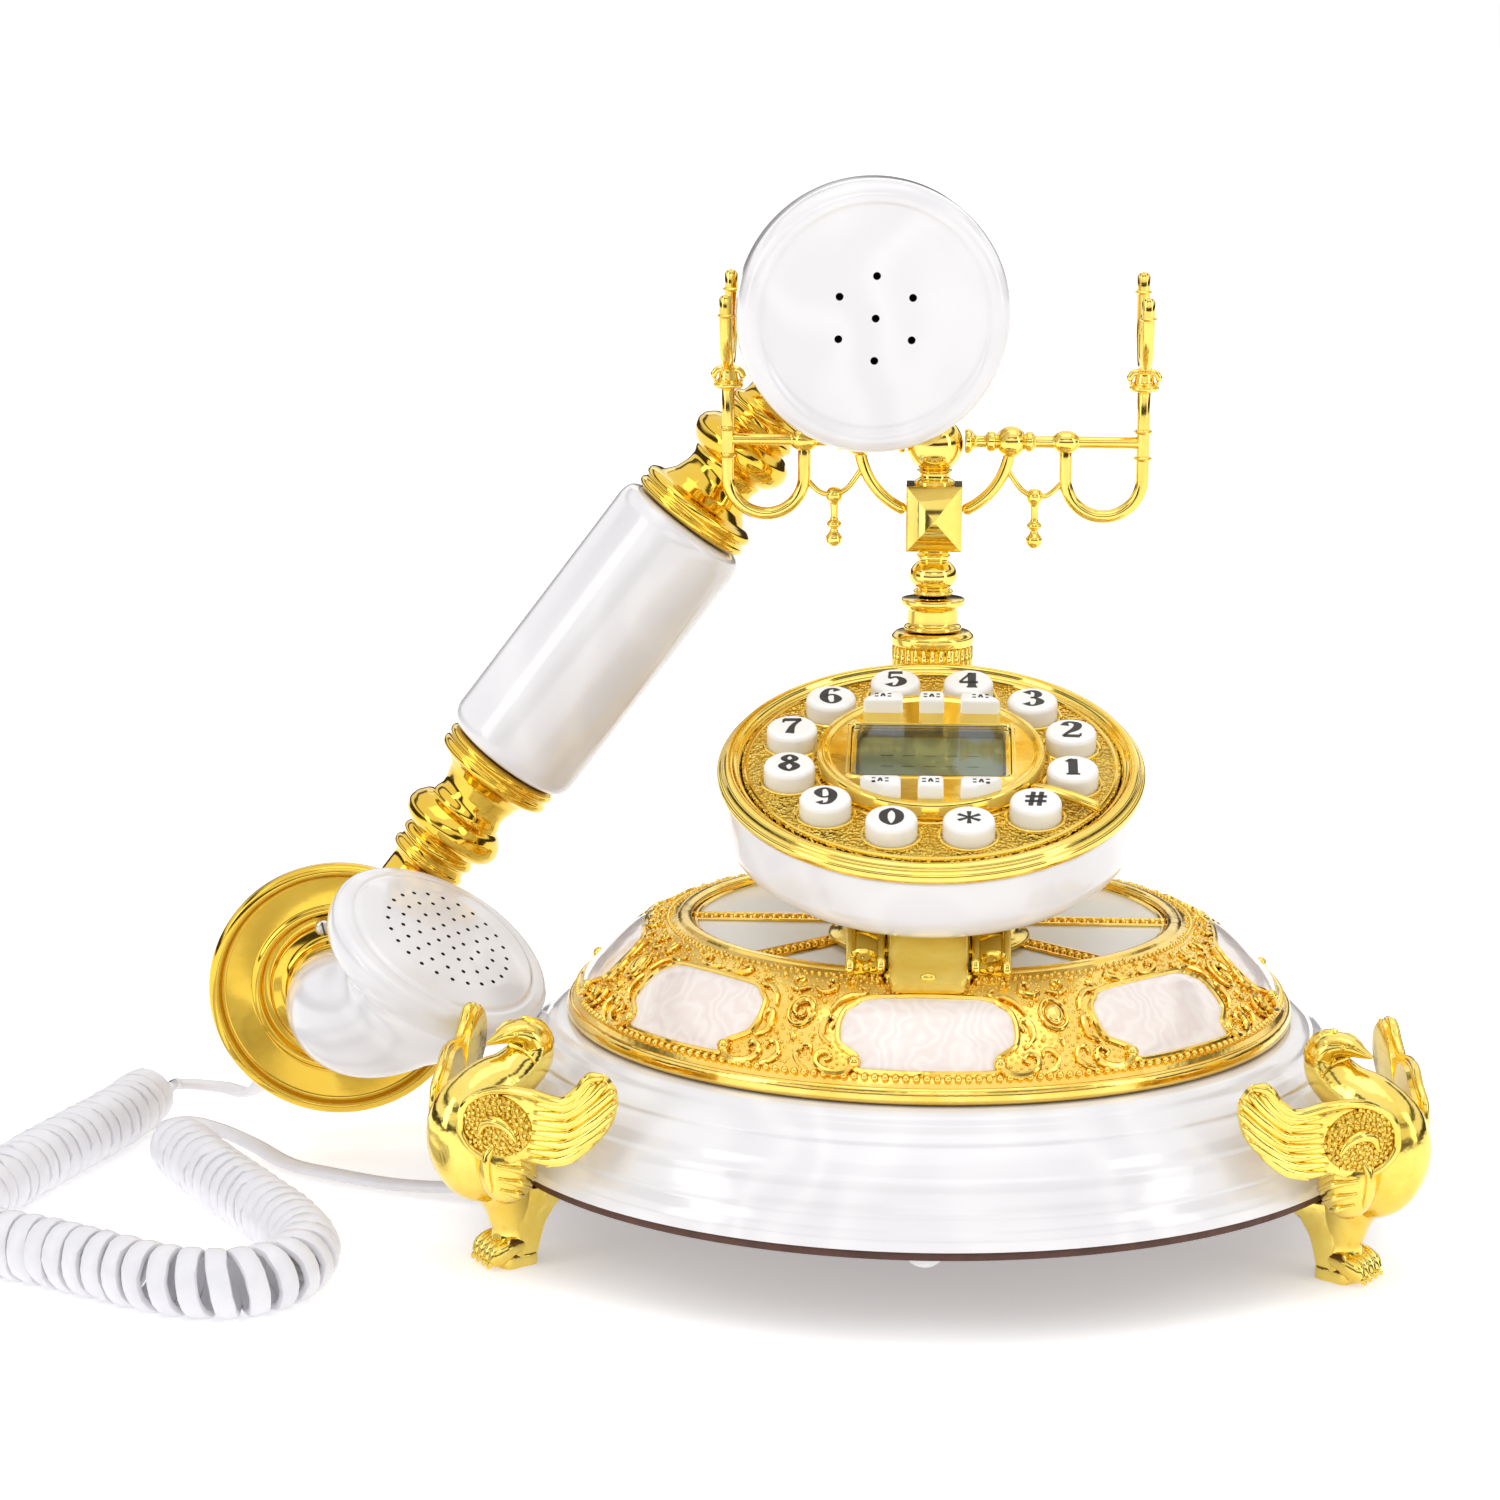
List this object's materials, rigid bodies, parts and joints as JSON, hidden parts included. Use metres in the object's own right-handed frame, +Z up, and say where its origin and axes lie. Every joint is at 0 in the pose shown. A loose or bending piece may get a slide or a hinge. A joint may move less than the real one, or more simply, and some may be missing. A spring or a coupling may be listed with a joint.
{
  "type": "french-style cradle telephone",
  "caption": "Ornate French-style desk telephone: round pearl base on swan feet, gilt ring, tilted push-button dial, forked gilt cradle and hooked handset on a curly cord.",
  "frame": {"origin": "middle of the phone's footprint on the surface it stands on, measured without its cord", "axes": "+X along the longest side, from the hanging handset towards the free end of the cradle; +Y from the user's side to the back; +Z up"},
  "size_m": [0.3085, 0.2118, 0.2169],
  "materials": {
    "gold": "polished gilt",
    "satin_gold": "satin gilt",
    "handset_gold": "polished deep gilt",
    "pearl": "pearl lacquer",
    "disc_pearl": "pearl enamel",
    "brown_plate": "matte",
    "key_white": "gloss",
    "lens": "clear",
    "display": "grey-green liquid crystal",
    "board": "matte",
    "dark_plastic": "matte",
    "clear_rubber": "clear",
    "cord": "satin"
  },
  "bodies": {
    "phone_base": {"base_shell": "pearl", "drum_housing": "pearl", "bottom_plate": "brown_plate", "ornate_ring": "satin_gold", "faceplate": "satin_gold", "top_disc": "disc_pearl", "line_jack": "dark_plastic", "hook_switch": "dark_plastic", "clear_bumper": "clear_rubber", "main_board": "board", "keypad_board": "board", "swan_foot_left": "gold", "swan_foot_right": "gold", "swan_foot_rear": "gold", "bezel": "gold", "display_frame": "gold", "pedestal": "gold", "cradle_pillar": "gold", "cradle_sleeve": "gold", "display_lens": "lens", "display_module": "display", "handset_lead": "cord", "cord_coil": "cord", "base_lead": "cord"},
    "cradle": {"cradle_post": "gold", "cradle_arm_left": "gold", "cradle_arm_right": "gold", "cradle_fork_left": "gold", "cradle_fork_right": "gold"},
    "handset": {"grip": "pearl", "grip_tie_rod": "dark_plastic", "neck_upper": "handset_gold", "neck_lower": "handset_gold", "ear_back_disc": "handset_gold", "ear_cup": "pearl", "ear_cap": "pearl", "receiver_capsule": "dark_plastic", "mouth_back_disc": "handset_gold", "mouth_horn": "pearl", "mouth_cap": "pearl", "mic_capsule": "dark_plastic", "cord_relief": "cord"},
    "key_1_body": {"key_1": "key_white"},
    "key_2_body": {"key_2": "key_white"},
    "key_3_body": {"key_3": "key_white"},
    "key_4_body": {"key_4": "key_white"},
    "key_5_body": {"key_5": "key_white"},
    "key_6_body": {"key_6": "key_white"},
    "key_7_body": {"key_7": "key_white"},
    "key_8_body": {"key_8": "key_white"},
    "key_9_body": {"key_9": "key_white"},
    "key_0_body": {"key_0": "key_white"},
    "key_star_body": {"key_star": "key_white"},
    "key_hash_body": {"key_hash": "key_white"},
    "function_key_top_left_body": {"function_key_top_left": "key_white"},
    "function_key_top_middle_body": {"function_key_top_middle": "key_white"},
    "function_key_top_right_body": {"function_key_top_right": "key_white"},
    "function_key_bottom_left_body": {"function_key_bottom_left": "key_white"},
    "function_key_bottom_middle_body": {"function_key_bottom_middle": "key_white"},
    "function_key_bottom_right_body": {"function_key_bottom_right": "key_white"}
  },
  "joints": [
    {"name": "handset_lift", "type": "slide", "parent": "phone_base", "child": "handset", "axis": [0, 0.6, 0.8], "range_m": [0, 0.2]},
    {"name": "cradle_rise", "type": "slide", "parent": "phone_base", "child": "cradle", "axis": [0, 0, 1], "range_m": [0, 0.004]},
    {"name": "key_1_press", "type": "slide", "parent": "phone_base", "child": "key_1_body", "axis": [0, 0.3156, -0.9489], "range_m": [0, 0.0013], "stiffness_N_per_m": 120},
    {"name": "key_2_press", "type": "slide", "parent": "phone_base", "child": "key_2_body", "axis": [0, 0.3156, -0.9489], "range_m": [0, 0.0013], "stiffness_N_per_m": 120},
    {"name": "key_3_press", "type": "slide", "parent": "phone_base", "child": "key_3_body", "axis": [0, 0.3156, -0.9489], "range_m": [0, 0.0013], "stiffness_N_per_m": 120},
    {"name": "key_4_press", "type": "slide", "parent": "phone_base", "child": "key_4_body", "axis": [0, 0.3156, -0.9489], "range_m": [0, 0.0013], "stiffness_N_per_m": 120},
    {"name": "key_5_press", "type": "slide", "parent": "phone_base", "child": "key_5_body", "axis": [0, 0.3156, -0.9489], "range_m": [0, 0.0013], "stiffness_N_per_m": 120},
    {"name": "key_6_press", "type": "slide", "parent": "phone_base", "child": "key_6_body", "axis": [0, 0.3156, -0.9489], "range_m": [0, 0.0013], "stiffness_N_per_m": 120},
    {"name": "key_7_press", "type": "slide", "parent": "phone_base", "child": "key_7_body", "axis": [0, 0.3156, -0.9489], "range_m": [0, 0.0013], "stiffness_N_per_m": 120},
    {"name": "key_8_press", "type": "slide", "parent": "phone_base", "child": "key_8_body", "axis": [0, 0.3156, -0.9489], "range_m": [0, 0.0013], "stiffness_N_per_m": 120},
    {"name": "key_9_press", "type": "slide", "parent": "phone_base", "child": "key_9_body", "axis": [0, 0.3156, -0.9489], "range_m": [0, 0.0013], "stiffness_N_per_m": 120},
    {"name": "key_0_press", "type": "slide", "parent": "phone_base", "child": "key_0_body", "axis": [0, 0.3156, -0.9489], "range_m": [0, 0.0013], "stiffness_N_per_m": 120},
    {"name": "key_star_press", "type": "slide", "parent": "phone_base", "child": "key_star_body", "axis": [0, 0.3156, -0.9489], "range_m": [0, 0.0013], "stiffness_N_per_m": 120},
    {"name": "key_hash_press", "type": "slide", "parent": "phone_base", "child": "key_hash_body", "axis": [0, 0.3156, -0.9489], "range_m": [0, 0.0013], "stiffness_N_per_m": 120},
    {"name": "function_key_top_left_press", "type": "slide", "parent": "phone_base", "child": "function_key_top_left_body", "axis": [0, 0.3156, -0.9489], "range_m": [0, 0.0013], "stiffness_N_per_m": 120},
    {"name": "function_key_top_middle_press", "type": "slide", "parent": "phone_base", "child": "function_key_top_middle_body", "axis": [0, 0.3156, -0.9489], "range_m": [0, 0.0013], "stiffness_N_per_m": 120},
    {"name": "function_key_top_right_press", "type": "slide", "parent": "phone_base", "child": "function_key_top_right_body", "axis": [0, 0.3156, -0.9489], "range_m": [0, 0.0013], "stiffness_N_per_m": 120},
    {"name": "function_key_bottom_left_press", "type": "slide", "parent": "phone_base", "child": "function_key_bottom_left_body", "axis": [0, 0.3156, -0.9489], "range_m": [0, 0.0013], "stiffness_N_per_m": 120},
    {"name": "function_key_bottom_middle_press", "type": "slide", "parent": "phone_base", "child": "function_key_bottom_middle_body", "axis": [0, 0.3156, -0.9489], "range_m": [0, 0.0013], "stiffness_N_per_m": 120},
    {"name": "function_key_bottom_right_press", "type": "slide", "parent": "phone_base", "child": "function_key_bottom_right_body", "axis": [0, 0.3156, -0.9489], "range_m": [0, 0.0013], "stiffness_N_per_m": 120}
  ]
}
